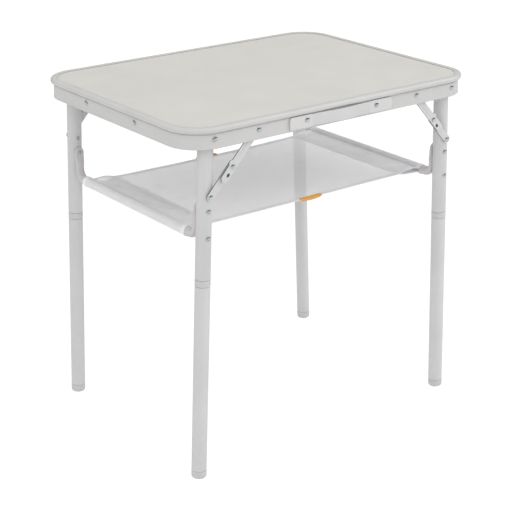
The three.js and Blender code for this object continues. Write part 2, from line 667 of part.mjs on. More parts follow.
function shelf() {
  const inner = BAR_RADIUS + GAP;
  const outer = inner + CLOTH;
  const seam = BAR_X - SEAM_INSET;
  const leave = tangentAngle(seam, CLOTH / 2, outer);
  const outline = new THREE.Shape();
  outline.moveTo(-seam, -CLOTH / 2);
  outline.lineTo(seam, -CLOTH / 2);
  outline.absarc(BAR_X, 0, outer, -leave, leave, false);
  outline.lineTo(seam, CLOTH / 2);
  outline.lineTo(-seam, CLOTH / 2);
  outline.absarc(-BAR_X, 0, outer, Math.PI - leave, Math.PI + leave, false);
  for (const side of [-1, 1]) {
    const hole = new THREE.Path();
    const apex = seam + SEAM_WIDTH;
    const open = tangentAngle(apex, 0, inner);
    const middle = side < 0 ? Math.PI : 0;
    hole.absarc(side * BAR_X, 0, inner, middle - open, middle + open, false);
    hole.lineTo(side * apex, 0);
    outline.holes.push(hole);
  }
  const cloth = slab(outline, -CLOTH_HALF_AT_BAR, CLOTH_HALF_AT_BAR, SLEEVE_STEPS);
  // seen from above, the long edges draw in toward the middle
  const reach = BAR_X + 2 * BAR_RADIUS;
  const bar = CLOTH_HALF_AT_BAR;
  const middle = CLOTH_HALF_AT_MIDDLE;
  const plan = new THREE.Shape();
  plan.moveTo(-reach, -bar);
  plan.bezierCurveTo(-seam, -middle, -seam, -middle, 0, -middle);
  plan.bezierCurveTo(seam, -middle, seam, -middle, reach, -bar);
  plan.lineTo(reach, bar);
  plan.bezierCurveTo(seam, middle, seam, middle, 0, middle);
  plan.bezierCurveTo(-seam, middle, -seam, middle, -reach, bar);
  const settings = { depth: 4 * BAR_RADIUS, bevelEnabled: false, curveSegments: BOW_STEPS };
  const above = new THREE.ExtrudeGeometry(plan, settings).translate(0, 0, -2 * BAR_RADIUS);
  add(table, "shelf_cloth", common(cloth, above).translate(0, 0, BAR_Z), meshCloth);
}

// A webbing tab folded over the middle of one long edge, with its lower end hanging.
function shelfTab(name, row) {
  const inner = CLOTH / 2 + GAP;
  const outer = inner + CLOTH;
  const edge = CLOTH_HALF_AT_MIDDLE + GAP;
  const section = new THREE.Shape([
    [edge - TAB_REACH, inner], [edge, inner], [edge, -inner], [edge - TAB_REACH, -inner],
    [edge - TAB_REACH, -outer], [edge, -TAB_DROP], [edge + CLOTH, -TAB_DROP],
    [edge + CLOTH, outer], [edge - TAB_REACH, outer],
  ].map(([y, z]) => new THREE.Vector2(y, z)));
  const settings = { depth: TAB_LENGTH, bevelEnabled: false };
  const tab = new THREE.ExtrudeGeometry(section, settings)
    .translate(0, 0, -TAB_LENGTH / 2)
    .rotateX(Math.PI / 2)
    .rotateZ(Math.PI / 2)
    .translate(0, 0, BAR_Z);
  add(table, name, mirrored(tab, 1, row), orangeWebbing);
}

panel();
rim();
rail("front_panel_rail", -RAIL_Y);
rail("back_panel_rail", RAIL_Y);
handle();
legPair("left", -1);
legPair("right", 1);
shelf();
shelfTab("front_shelf_tab", -1);
shelfTab("back_shelf_tab", 1);

export default table;
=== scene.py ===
import json
import math

import bmesh
import bpy
from mathutils import Matrix, Vector, noise


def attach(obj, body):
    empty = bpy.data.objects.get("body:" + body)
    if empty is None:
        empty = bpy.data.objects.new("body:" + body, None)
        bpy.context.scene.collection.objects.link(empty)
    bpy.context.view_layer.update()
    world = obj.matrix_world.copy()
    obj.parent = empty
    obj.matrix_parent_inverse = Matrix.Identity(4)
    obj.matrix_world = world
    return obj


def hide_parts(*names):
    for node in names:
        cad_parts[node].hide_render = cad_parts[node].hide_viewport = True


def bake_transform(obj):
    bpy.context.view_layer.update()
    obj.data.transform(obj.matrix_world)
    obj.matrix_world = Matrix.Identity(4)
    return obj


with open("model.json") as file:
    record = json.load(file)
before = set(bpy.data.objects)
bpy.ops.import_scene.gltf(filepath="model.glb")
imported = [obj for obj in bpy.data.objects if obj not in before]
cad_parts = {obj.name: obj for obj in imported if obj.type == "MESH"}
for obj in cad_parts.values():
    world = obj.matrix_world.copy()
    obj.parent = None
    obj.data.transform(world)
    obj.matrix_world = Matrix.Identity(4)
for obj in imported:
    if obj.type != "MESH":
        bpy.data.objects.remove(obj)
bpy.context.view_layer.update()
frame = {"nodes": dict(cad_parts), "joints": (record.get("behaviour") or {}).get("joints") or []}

MM = 0.001
SIDES = (("left", -1), ("right", 1))
ROWS = (("front", -1), ("back", 1))

# ---- places, read from the frame


def corners(node, place=None):
    """Lowest and highest corner of a CAD node in millimetres, in the frame `place`."""
    back = (place or Matrix()).inverted()
    points = [back @ (vertex.co / MM) for vertex in frame["nodes"][node].data.vertices]
    low = Vector([min(p[axis] for p in points) for axis in range(3)])
    high = Vector([max(p[axis] for p in points) for axis in range(3)])
    return low, high


def joint(name):
    """A joint of the frame by its name."""
    return next(j for j in frame["joints"] if j["name"] == name)


RIM_LOW, RIM_HIGH = corners("rim")
HALF_X = (RIM_HIGH.x - RIM_LOW.x) / 2
HALF_Y = (RIM_HIGH.y - RIM_LOW.y) / 2
MIDDLE_Y = (RIM_HIGH.y + RIM_LOW.y) / 2
TOP_Z = RIM_HIGH.z
PIVOT = Vector(joint("right_fold")["pos_m"]) / MM
LEG_AXIS = Vector(joint("right_front_lower_leg_pull")["axis"])
SPLAY = math.atan2(abs(LEG_AXIS.x), abs(LEG_AXIS.z))


def pair_place(side):
    """The frame of a pair of legs: on its pivot line, with -Z down the legs."""
    turn = Matrix.Rotation(-side * SPLAY, 4, "Y")
    return Matrix.Translation((side * PIVOT.x, MIDDLE_Y, PIVOT.z)) @ turn


def across(row):
    """Turns +Z to point out of the table's front (row -1) or back (row 1)."""
    return Matrix.Rotation(-row * math.pi / 2, 4, "X")


TABLE = Matrix.Translation((0, MIDDLE_Y, 0))
LEG_LOW, LEG_HIGH = corners("right_back_upper_leg", pair_place(1))
TUBE = (LEG_HIGH.y - LEG_LOW.y) / 2  # radius of a leg
LEG_Y = (LEG_HIGH.y + LEG_LOW.y) / 2
LEG_INSIDE = LEG_Y - TUBE
LEG_OUTSIDE = LEG_Y + TUBE
RUNNING_GAP = 0.3  # between parts that turn on each other


def leg_place(side, row):
    return pair_place(side) @ Matrix.Translation((0, row * LEG_Y, 0))


# ---- materials


class Shader:
    """A material's node tree around its Principled shader."""

    def __init__(self, name, **fixed):
        self.material = bpy.data.materials.new(name)
        self.material.use_nodes = True
        self.tree = self.material.node_tree
        self.surface = self.tree.nodes["Principled BSDF"]
        self.finish(**fixed)

    def feed(self, node, inputs):
        for key, value in inputs.items():
            if isinstance(value, bpy.types.NodeSocket):
                self.tree.links.new(value, node.inputs[key])
            else:
                node.inputs[key].default_value = value

    def add(self, kind, inputs, output=0, **settings):
        node = self.tree.nodes.new("ShaderNode" + kind)
        for key, value in settings.items():
            setattr(node, key, value)
        self.feed(node, inputs)
        return node.outputs[output]

    def math(self, operation, *values):
        return self.add("Math", dict(enumerate(values)), operation=operation)

    def noise(self, scale, detail, where=None):
        where = where or self.place()
        return self.add("TexNoise", {"Vector": where, "Scale": scale, "Detail": detail})

    def place(self, stretch=(1, 1, 1)):
        """Object coordinates, in metres, stretched."""
        coordinate = self.add("TexCoord", {}, output="Object")
        return self.add("Mapping", {"Vector": coordinate, "Scale": stretch})

    def ramp(self, factor, stops):
        """A smooth ramp through (position, grey or colour) stops."""
        node = self.tree.nodes.new("ShaderNodeValToRGB")
        node.color_ramp.interpolation = "EASE"
        elements = node.color_ramp.elements
        while len(elements) < len(stops):
            elements.new(0.5)
        for element, (position, value) in zip(elements, stops):
            element.position = position
            tone = value if hasattr(value, "__len__") else (value, value, value)
            element.color = (*tone, 1)
        self.tree.links.new(factor, node.inputs["Fac"])
        return node.outputs["Color"]

    def mix(self, factor, a, b):
        inputs = {0: factor, 6: a if not isinstance(a, tuple) else (*a, 1)}
        inputs[7] = b if not isinstance(b, tuple) else (*b, 1)
        return self.add("Mix", inputs, output=2, data_type="RGBA")

    def bump(self, height, depth, strength):
        return self.add("Bump", {"Height": height, "Distance": depth, "Strength": strength})

    def finish(self, **inputs):
        self.feed(self.surface, {key.replace("_", " "): value for key, value in inputs.items()})
        return self.material


def shade(colour, factor):
    return tuple(channel * factor for channel in colour)


def laminate(name, colour, grain, gloss):
    """A printed laminate: a faint cloudy tone, fine speckle and a shallow pebbled texture."""
    s = Shader(name, IOR=1.5)
    cloud = s.ramp(s.noise(9, 3), [(0.35, 0.0), (0.65, 1.0)])
    tone = s.mix(cloud, shade(colour, 0.985), shade(colour, 1.012))
    speckle = s.ramp(s.noise(1400, 1), [(0.55, 0.0), (0.72, grain)])
    tone = s.mix(speckle, tone, shade(colour, 0.82))
    rough = s.ramp(s.noise(25, 4), [(0.3, gloss), (0.7, gloss + 0.08)])
    pebble = s.bump(s.noise(1700, 2), 0.00006, 0.5)
    return s.finish(Base_Color=tone, Roughness=rough, Normal=pebble)


def powder_coat(name, colour, gloss=0.38):
    """Sprayed and baked powder: orange peel, a little tone drift and settled dust."""
    s = Shader(name, IOR=1.48)
    drift = s.ramp(s.noise(14, 3), [(0.3, 0.0), (0.7, 1.0)])
    tone = s.mix(drift, shade(colour, 0.975), shade(colour, 1.015))
    dust = s.ramp(s.noise(520, 2), [(0.62, 0.0), (0.8, 0.25)])
    tone = s.mix(dust, tone, shade(colour, 0.8))
    rough = s.ramp(s.noise(60, 3), [(0.3, gloss), (0.7, gloss + 0.1)])
    peel = s.bump(s.noise(650, 2), 0.00012, 0.45)
    return s.finish(Base_Color=tone, Roughness=rough, Normal=peel)


def moulded(name, colour, gloss=0.42):
    """Injection-moulded plastic: fine spark texture, flow marks and a soft glow."""
    s = Shader(name, IOR=1.47)
    flow = s.ramp(s.noise(30, 4, s.place((1, 1, 0.25))), [(0.3, 0.0), (0.7, 1.0)])
    tone = s.mix(flow, shade(colour, 0.965), shade(colour, 1.01))
    rough = s.ramp(s.noise(180, 3), [(0.3, gloss), (0.7, gloss + 0.09)])
    spark = s.bump(s.noise(2400, 1), 0.00005, 0.5)
    return s.finish(Base_Color=tone, Roughness=rough, Normal=spark)


def plated(name):
    """Blue-passivated zinc on steel: a cool bright metal with grey stains, bloom and fine dents."""
    bright, stained, bloomed = (0.68, 0.78, 0.82), (0.42, 0.5, 0.53), (0.62, 0.66, 0.6)
    s = Shader(name, Metallic=1.0)
    stain = s.ramp(s.noise(420, 3), [(0.4, 0.0), (0.62, 1.0)])
    tone = s.mix(stain, bright, stained)
    bloom = s.ramp(s.noise(900, 2), [(0.5, 0.0), (0.75, 0.5)])
    tone = s.mix(bloom, tone, bloomed)
    rough = s.ramp(s.noise(700, 3), [(0.3, 0.06), (0.7, 0.2)])
    dents = s.bump(s.noise(500, 3), 0.00012, 0.6)
    return s.finish(Base_Color=tone, Roughness=rough, Normal=dents)


def mesh_cloth(name, colour, pitch, opening, opaque=False):
    """A plain-woven polyester mesh on UVs in metres: crossing threads with open cells between.

    `opening` is the open part of a cell's width. An opaque cloth has no open cells.
    """
    s = Shader(name, Roughness=0.62, Sheen_Weight=0.15)
    where = s.add("UVMap", {}, uv_map="cloth")
    split = s.tree.nodes.new("ShaderNodeSeparateXYZ")
    s.tree.links.new(where, split.inputs[0])
    cells = []
    for axis in "XY":
        turn = s.math("FRACT", s.math("DIVIDE", split.outputs[axis], pitch))
        cells.append(s.math("MULTIPLY", s.math("ABSOLUTE", s.math("SUBTRACT", turn, 0.5)), 2))
    height = s.math("MAXIMUM", *[s.math("POWER", cell, 2.0) for cell in cells])
    slub = s.ramp(s.noise(45, 4), [(0.3, 0.0), (0.7, 1.0)])
    tone = s.mix(slub, shade(colour, 0.96), shade(colour, 1.02))
    tone = s.mix(s.math("MULTIPLY", height, 0.35), tone, shade(colour, 0.86))
    if not opaque:
        soft = 0.06  # half the width of a thread's soft edge
        reach = s.math("MAXIMUM", *cells)
        limits = {1: opening - soft, 2: opening + soft, 3: 0.0, 4: 1.0}
        s.finish(Alpha=s.add("MapRange", {0: reach, **limits}))
    return s.finish(Base_Color=tone, Normal=s.bump(height, 0.0002, 0.6))


def webbing(name, colour, rib):
    """A flat woven tape: slanted ribs across it, painted darker in the grooves as shade and lighter
    on the rib tops as a highlight, with lighter fuzz on them.
    """
    s = Shader(name, Roughness=0.68, Sheen_Weight=0.25)
    coordinate = s.add("TexCoord", {}, output="Object")
    split = s.tree.nodes.new("ShaderNodeSeparateXYZ")
    s.tree.links.new(coordinate, split.inputs[0])
    slant = s.math("ADD", split.outputs["X"], s.math("MULTIPLY", split.outputs["Z"], 0.6))
    wave = s.math("SINE", s.math("MULTIPLY", slant, 2 * math.pi / rib))
    lift = s.math("MULTIPLY_ADD", wave, 0.5, 0.5)
    fuzz = s.noise(1500, 3)
    # the grooves between the ribs are painted darker as shade, and the rib tops lighter as a
    # painted highlight
    tone = s.mix(lift, shade(colour, 0.78), shade(colour, 1.06))
    tone = s.mix(s.ramp(fuzz, [(0.5, 0.0), (0.8, 0.3)]), tone, shade(colour, 1.3))
    return s.finish(Base_Color=tone, Normal=s.bump(lift, 0.0002, 0.7))


def thread(name, colour):
    """Twisted sewing thread."""
    s = Shader(name, Roughness=0.6, Sheen_Weight=0.2)
    twist = s.noise(2600, 2, s.place((1, 1, 0.4)))
    tone = s.mix(s.ramp(twist, [(0.35, 0.0), (0.65, 1.0)]), shade(colour, 0.88), colour)
    return s.finish(Base_Color=tone, Normal=s.bump(twist, 0.0001, 0.6))


MESH = (0.0016, 0.42)  # thread pitch in metres, and the open part of a cell's width

PANEL = laminate("laminate", (0.698, 0.68, 0.64), 0.35, 0.5)
BACKING = laminate("laminate_backing", (0.60, 0.59, 0.57), 0.5, 0.62)
RIM = powder_coat("rim_coating", (0.632, 0.628, 0.62))
LEG = powder_coat("leg_coating", (0.655, 0.655, 0.655), 0.34)
RAIL = powder_coat("rail_coating", (0.60, 0.60, 0.59), 0.4)
GAP = powder_coat("rim_gap", (0.64, 0.64, 0.63), 0.6)
# near black side faces of the links: painted shade standing in for the shadowed gaps between link
# and leg
PAINTED_EDGE_SHADE = powder_coat("painted_edge_shade", (0.1, 0.1, 0.1), 0.5)
BAR = powder_coat("bar_coating", (0.645, 0.625, 0.615), 0.36)
HANDLE = moulded("handle_plastic", (0.665, 0.66, 0.658))
CAP = moulded("cap_plastic", (0.70, 0.69, 0.687), 0.36)
COLLAR = moulded("collar_plastic", (0.63, 0.612, 0.602), 0.48)
ZINC = plated("zinc")
CLOTH = mesh_cloth("mesh_cloth", (0.985, 0.975, 0.995), *MESH)
HEM = mesh_cloth("hem_cloth", (0.95, 0.95, 0.98), *MESH, opaque=True)
ORANGE = webbing("orange_webbing", (0.86, 0.42, 0.06), 0.0022)
THREAD = thread("sewing_thread", (0.78, 0.78, 0.8))

# ---- shapes


def ease(t):
    """A smooth step from 0 to 1."""
    t = min(1.0, max(0.0, t))
    return t * t * (3 - 2 * t)


def arc(x, y, radius, start, end, steps):
    """Points on an arc, with angles in degrees."""
    angles = [math.radians(start + (end - start) * i / steps) for i in range(steps + 1)]
    return [(x + radius * math.cos(a), y + radius * math.sin(a)) for a in angles]


def skin(rings, loop=False, caps=False, into=None):
    """A mesh through equal rings of points. loop joins the last ring to the first.

    caps closes both ends, and into adds to a shape instead of starting one.
    """
    shape = into or bmesh.new()
    rows = [[shape.verts.new(point) for point in ring] for ring in rings]
    pairs = list(zip(rows, rows[1:])) + ([(rows[-1], rows[0])] if loop else [])
    for low, high in pairs:
        for i in range(len(low)):
            j = (i + 1) % len(low)
            shape.faces.new((low[i], low[j], high[j], high[i]))
    if caps:
        shape.faces.new(rows[0])
        shape.faces.new(rows[-1])
    return shape


def lathe(profile, steps=48):
    """A mesh turned about Z from (radius, height) points. A radius of 0 closes it."""
    shape = bmesh.new()
    rows = []
    for radius, z in profile:
        if radius < 1e-6:
            rows.append([shape.verts.new((0, 0, z))])
            continue
        angles = [2 * math.pi * i / steps for i in range(steps)]
        ring = [(radius * math.cos(a), radius * math.sin(a), z) for a in angles]
        rows.append([shape.verts.new(point) for point in ring])
    for low, high in zip(rows, rows[1:]):
        for i in range(steps):
            j = (i + 1) % steps
            corner = [low[i % len(low)], low[j % len(low)]]
            corner += [high[j % len(high)], high[i % len(high)]]
            face = [v for n, v in enumerate(corner) if v not in corner[:n]]
            shape.faces.new(face)
    return shape


def tube(outer, inner):
    """A lathe profile for a hollow part: down its outside and back up its inside."""
    return outer + inner + outer[:1]


def join_seam(shape):
    bmesh.ops.remove_doubles(shape, verts=shape.verts, dist=1e-4)
    return shape


def rounded_rectangle(half_x, half_y, radius, steps):
    """Corners of a rounded rectangle, counter-clockwise."""
    points = []
    for quarter, (sx, sy) in enumerate(((1, 1), (-1, 1), (-1, -1), (1, -1))):
        points += arc(sx * (half_x - radius), sy * (half_y - radius), radius,
                      90 * quarter, 90 * (quarter + 1), steps)
    return points


def plate(outlines, thickness, bevel):
    """A flat plate in XY from z 0 up, with a bevelled edge; the first outline is its border.

    Its cut edge takes the second material, which on the links is painted shade.
    """
    data = bpy.data.curves.new("plate", "CURVE")
    data.dimensions = "2D"
    data.fill_mode = "BOTH"
    data.extrude = thickness / 2 - bevel
    data.bevel_depth = bevel
    data.bevel_resolution = 2
    data.offset = -bevel
    for outline in outlines:
        spline = data.splines.new("POLY")
        spline.points.add(len(outline) - 1)
        spline.use_cyclic_u = True
        for point, (x, y) in zip(spline.points, outline):
            point.co = (x, y, 0, 1)
    holder = bpy.data.objects.new("plate", data)
    bpy.context.scene.collection.objects.link(holder)
    bpy.context.view_layer.update()
    ready = holder.evaluated_get(bpy.context.evaluated_depsgraph_get())
    mesh = bpy.data.meshes.new_from_object(ready)
    shape = bmesh.new()
    shape.from_mesh(mesh)
    bmesh.ops.translate(shape, verts=shape.verts, vec=(0, 0, thickness / 2))
    bpy.data.objects.remove(holder)
    bpy.data.curves.remove(data)
    bpy.data.meshes.remove(mesh)
    join_seam(shape)
    shape.normal_update()
    # the side faces take the second material; on the links that is painted shade
    for face in shape.faces:
        face.material_index = 1 if abs(face.normal.z) < 0.3 else 0
    return shape


def piece(name, shape, place, body, material, slot, *nodes, sharp=35, recalc=True):
    """Turns a shape in millimetres into a piece that rides on a body and stands for CAD nodes."""
    if recalc:
        bmesh.ops.recalc_face_normals(shape, faces=shape.faces)
    mesh = bpy.data.meshes.new(name)
    shape.to_mesh(mesh)
    shape.free()
    mesh.transform(Matrix.Scale(MM, 4) @ place)
    if place.determinant() < 0 and recalc:
        mesh.flip_normals()
    mesh.shade_smooth()
    if sharp:
        mesh.set_sharp_from_angle(angle=math.radians(sharp))
    for each in material if isinstance(material, tuple) else (material,):
        mesh.materials.append(each)
    made = bpy.data.objects.new(name, mesh)
    bpy.context.scene.collection.objects.link(made)
    if body:
        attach(made, body)
    if nodes:
        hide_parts(*nodes)
    return made


# ---- top

RIM_DROP = TOP_Z - RIM_LOW.z
PANEL_LOW, PANEL_HIGH = corners("top_panel")
FLANGE = 12  # the lip's width, seen from above
CORNER = 60  # radius of the lip's outer corner
SLOT = (-10.72, -9.25)  # heights of the slot under the lip, down from its top
BAND_FACE = 4.95  # the band's outer face, in from the lip's edge
BEHIND_BAND = 1.9  # from the band's outer face to what bears on it from behind
RAIL_SEAT = 6.95  # where a rail's turned-down end lies, in from the lip's edge


def rim_section():
    """[outward from the lip's edge, up from the lip's top] all round the rim's section."""
    panel_top = PANEL_HIGH.z - TOP_Z
    panel_low = PANEL_LOW.z - TOP_Z
    bead = 1.6  # radius of the rolled lower edge
    inside = -6.7  # the band's inner face
    section = arc(-4.6, -4.6, 4.6, 82, -72, 14)  # the lip's rolled edge
    section += [(-3.6, -9.15), (-4.4, -9.3), (-6.0, -9.3), (-6.0, -10.7)]  # a slot under it
    section += [(-5.5, -10.75), (-5.15, -11.0), (-5.05, -11.6), (-5.0, -17)]
    section += [(-4.95, -22), (-4.8, -27), (-4.55, -30)]  # the band leans out a little
    section += arc(-4.9 - 0.7, bead - RIM_DROP, bead, 20, -180, 10)  # rolled lower edge
    section += [(inside, -29), (inside, panel_low - 1.6)]
    section += [(-FLANGE, panel_low - 1.6), (-FLANGE, panel_low - 0.35)]  # flange under the panel
    section += [(inside, panel_low - 0.35), (inside, panel_top + 0.3)]
    section += [(-FLANGE + 0.5, panel_top + 0.3)]
    section += arc(-FLANGE + 0.6, panel_top + 0.9, 0.6, 230, 110, 5)  # rounded inner edge
    section += [(-FLANGE + 1.6, -0.25), (-9, -0.06), (-6.6, 0)]
    return section


def rim():
    rings = []
    for quarter, (sx, sy) in enumerate(((1, 1), (-1, 1), (-1, -1), (1, -1))):
        for step in range(25):
            angle = math.radians(90 * (quarter + step / 24))
            rings.append([(
                sx * (HALF_X - CORNER) + (CORNER + out) * math.cos(angle),
                sy * (HALF_Y - CORNER) + (CORNER + out) * math.sin(angle),
                TOP_Z + up,
            ) for out, up in rim_section()])
    shape = skin(rings, loop=True)
    for face in shape.faces:
        inside = all(SLOT[0] <= v.co.z - TOP_Z <= SLOT[1] for v in face.verts)
        face.material_index = 1 if inside else 0
    piece("rim_frame", shape, TABLE, "top", (RIM, GAP), "rim_coating", "rim", sharp=50)


def tabletop():
    """The laminate sheet: face, eased edge and a plainer backing."""
    half_x = (PANEL_HIGH.x - PANEL_LOW.x) / 2
    half_y = (PANEL_HIGH.y - PANEL_LOW.y) / 2
    radius = CORNER - (HALF_X - half_x)
    rings = []
    for inset, z in ((0.3, PANEL_LOW.z), (0, PANEL_LOW.z + 0.3), (0, PANEL_HIGH.z - 0.3),
                     (0.3, PANEL_HIGH.z)):
        outline = rounded_rectangle(half_x - inset, half_y - inset, radius - inset, 16)
        rings.append([(x, y, z) for x, y in outline])
    shape = join_seam(skin(rings, caps=True))
    for face in shape.faces:
        face.material_index = 1 if face.calc_center_median().z < PANEL_LOW.z + 0.1 else 0
    piece("tabletop", shape, TABLE, "top", (PANEL, BACKING), "laminate", "top_panel")


def rail(row_name, row):
    """A pressed strip under the panel, turned down and riveted at both ends."""
    node = f"{row_name}_panel_rail"
    low, high = corners(node)
    centre_y = (low.y + high.y) / 2
    seat = HALF_X - RAIL_SEAT
    thick, bend, rib = 2.2, 4, 0.9
    run = 280  # half the straight length, between the bends
    top, drop = high.z - 0.1, low.z + 0.5
    path = [(-seat, drop, 180), (-seat, top - bend, 180)]
    path += [(x, z, a) for (x, z), a in zip(
        arc(-seat + bend, top - bend, bend, 180, 90, 6), [180 - 15 * i for i in range(7)])]
    path += [(x, top, 90) for x in range(-run, run + 1, 8)]
    path += [(x, z, a) for (x, z), a in zip(
        arc(seat - bend, top - bend, bend, 90, 0, 6), [90 - 15 * i for i in range(7)])]
    path += [(seat, top - bend, 0), (seat, drop, 0)]
    half = (high.y - low.y) / 2
    rings = []
    for x, z, angle in path:
        out = Vector((math.cos(math.radians(angle)), 0, math.sin(math.radians(angle))))
        lift = rib * ease((run - 12 - abs(x)) / 12)  # a channel pressed up along the middle
        section = [(-half, 0), (-6, 0), (-4, lift), (4, lift), (6, 0), (half, 0),
                   (half, -thick), (6.2, -thick), (4.4, -thick + lift), (-4.4, -thick + lift),
                   (-6.2, -thick), (-half, -thick)]
        rings.append([Vector((x, y, z)) + out * rise for y, rise in section])
    place = Matrix.Translation((0, centre_y, 0))
    piece(f"{node}_strip", skin(rings, caps=True), place, "top", RAIL, "zinc", node)
    for side_name, side in SIDES:
        along = Matrix.Rotation(side * math.pi / 2, 4, "Y")
        spot = Matrix.Translation((0, centre_y, PIVOT.z)) @ along
        back, face = seat - thick, HALF_X - BAND_FACE
        profile = rivet(back - TAIL_HEIGHT, [(SHANK, back), (SHANK, face)], face)
        piece(f"{side_name}_{row_name}_rail_rivet", lathe(profile), spot, "top", ZINC, "zinc")


HEAD_RADIUS = 4.2
HEAD_HEIGHT = 1.7
TAIL_RADIUS = 3.6
TAIL_HEIGHT = 1.2
SHANK = 2.6  # radius


def rivet(tail, shank, head):
    """A semi-tubular rivet on +Z: rolled hollow tail, shank points, domed head seated at `head`."""
    profile = [(0, tail + 4.2), (1.4, tail + 4.2), (1.6, tail + 0.9)]
    profile += [(2.55 - 0.95 * math.cos(a), tail + 0.6 - 0.6 * math.sin(a))
                for a in [math.radians(20 * i) for i in range(1, 9)]]
    profile += [(TAIL_RADIUS, tail + 0.75), (TAIL_RADIUS - 0.2, tail + TAIL_HEIGHT)]
    profile += shank
    profile += [(HEAD_RADIUS - 0.15, head), (HEAD_RADIUS, head + 0.25)]
    profile += [(HEAD_RADIUS - 0.05, head + 0.5)]
    profile += [((HEAD_RADIUS - 0.15) * math.cos(a), head + 0.5 + (HEAD_HEIGHT - 0.5) * math.sin(a))
                for a in [math.radians(9 * i) for i in range(1, 10)]]
    profile.append((0, head + HEAD_HEIGHT))
    return profile


HANDLE_FACE = 4.7  # the band's face at the handle's height, in from the lip's edge
STRAP = 2.3  # thickness
CAP_START = 60  # from the handle's middle to its caps
CAP_THICK = 3.35
HANDLE_RIVET = 72.5  # from the handle's middle to its rivets


def handle():
    """A bowed strap whose ends sit in two thicker caps riveted to the band."""
    low, high = corners("handle", TABLE)
    seat = -(HALF_Y - HANDLE_FACE)
    half = (high.x - low.x) / 2
    centre_z = (low.z + high.z) / 2
    tall = (high.z - low.z) / 2
    bow, flat = 4, half - 52
    middle = []
    for i in range(17):
        t = i / 16
        x = flat * (1 - t) ** 3 + 1.5 * flat * (1 - t) * t
        middle.append((x, bow * ease(t)))
    run = [(-half + 8 + i * (half - 8 - flat) / 6, 0) for i in range(6)]
    run += [(-x, b) for x, b in middle] + [(x, b) for x, b in reversed(middle[:-1])]
    run += [(-x, 0) for x, _ in reversed(run[:6])]
    rings = []
    for x, lift in run:
        centre_y = seat - 2.9 - lift + STRAP / 2
        rings.append([(x, centre_y + dy, centre_z + dz)
                      for dy, dz in rounded_rectangle(STRAP / 2, tall - 0.7, 1.0, 4)])
    strap = join_seam(skin(rings, caps=True))
    piece("handle_strap", strap, TABLE, "top", HANDLE, "handle_plastic", "handle")

    cap_half = (half - CAP_START) / 2
    for side_name, side in SIDES:
        outline = rounded_rectangle(cap_half, tall - 0.2, 4.5, 8)
        shape = plate([outline], CAP_THICK, 0.9)
        for vertex in shape.verts:
            # the cap's face thins towards the strap, where it opens
            inner = (vertex.co.x + cap_half) / (2 * cap_half)
            if vertex.co.z > 1:
                vertex.co.z -= 1.8 * max(0.0, 0.25 - inner)
        turn = Matrix.Rotation(math.pi / 2, 4, "X") @ Matrix.Scale(side, 4, (1, 0, 0))
        spot = TABLE @ Matrix.Translation((side * (CAP_START + cap_half), seat, centre_z)) @ turn
        piece(f"handle_{side_name}_cap", shape, spot, "top", (CAP, CAP), "handle_plastic")
        place = TABLE @ Matrix.Translation((side * HANDLE_RIVET, 0, PIVOT.z)) @ across(-1)
        back, face = -seat - BEHIND_BAND, CAP_THICK - seat
        profile = rivet(back - TAIL_HEIGHT, [(SHANK, back), (SHANK, face)], face)
        piece(f"handle_{side_name}_rivet", lathe(profile), place, "top", ZINC, "zinc",
              f"handle_rivet_{side_name}")


# ---- legs

WALL = 1.2  # thickness of the tubes
COLLAR_FACE = 10.75  # height of the part of a collar that shows
SHOULDER = -242.7  # where a lower leg necks down to its spigot, from the pivot line
FOOT_PLUG = 12  # the part of a foot cap inside its tube


def upper_leg(name, side, row, body):
    """A tube whose top is rounded off in a half turn, seen from the front."""
    node = f"{name}_upper_leg"
    place = leg_place(side, row)
    low, _ = corners(node, place)
    steps = 64
    rings = []
    for radius, z in ((TUBE, None), (TUBE, low.z + 0.4), (TUBE - 0.3, low.z),
                      (TUBE - WALL, low.z), (TUBE - WALL, None)):
        ring = []
        for i in range(steps):
            a = 2 * math.pi * i / steps
            top = TUBE * abs(math.sin(a))
            ring.append((radius * math.cos(a), radius * math.sin(a), top if z is None else z))
        rings.append(ring)
    piece(node + "_tube", skin(rings, loop=True), place, body, LEG, "leg_coating", node, sharp=50)


def collar(name, side, row, body):
    """The plastic collar at the joint of a leg, with its neck inside the upper tube."""
    node = f"{name}_collar"
    place = leg_place(side, row)
    low, high = corners(node, place)
    face = low.z + COLLAR_FACE
    outer = [(TUBE - 0.9, low.z), (TUBE - 0.15, low.z + 0.15), (TUBE + 0.1, low.z + 0.8),
             (TUBE + 0.1, face - 0.8), (TUBE - 0.15, face - 0.15), (TUBE - 0.9, face),
             (TUBE - 1.5, face + 0.2), (TUBE - 1.5, high.z - 0.6), (TUBE - 2.0, high.z)]
    inner = [(9.9, high.z), (9.6, high.z - 0.5), (9.6, low.z + 0.5), (9.9, low.z)]
    shape = join_seam(lathe(tube(outer, inner)))
    piece(node + "_ring", shape, place, body, COLLAR, "collar_plastic", node)


def lower_leg(name, side, row, body):
    """A tube with its end swaged down to a spigot."""
    node = f"{name}_lower_leg"
    place = leg_place(side, row)
    low, high = corners(node, place)
    outer = [(TUBE - 0.3, low.z), (TUBE, low.z + 0.3), (TUBE, SHOULDER - 1.2),
             (TUBE - 0.35, SHOULDER - 0.35), (TUBE - 1.2, SHOULDER), (9.4, SHOULDER + 0.05),
             (9.3, SHOULDER + 0.4), (9.3, high.z - 1.5), (8.7, high.z)]
    inner = [(8.1, high.z), (8.1, SHOULDER - 2.4), (TUBE - WALL, SHOULDER - 3.4),
             (TUBE - WALL, low.z)]
    shape = join_seam(lathe(tube(outer, inner), 64))
    piece(node + "_tube", shape, place, body, LEG, "leg_coating", node)


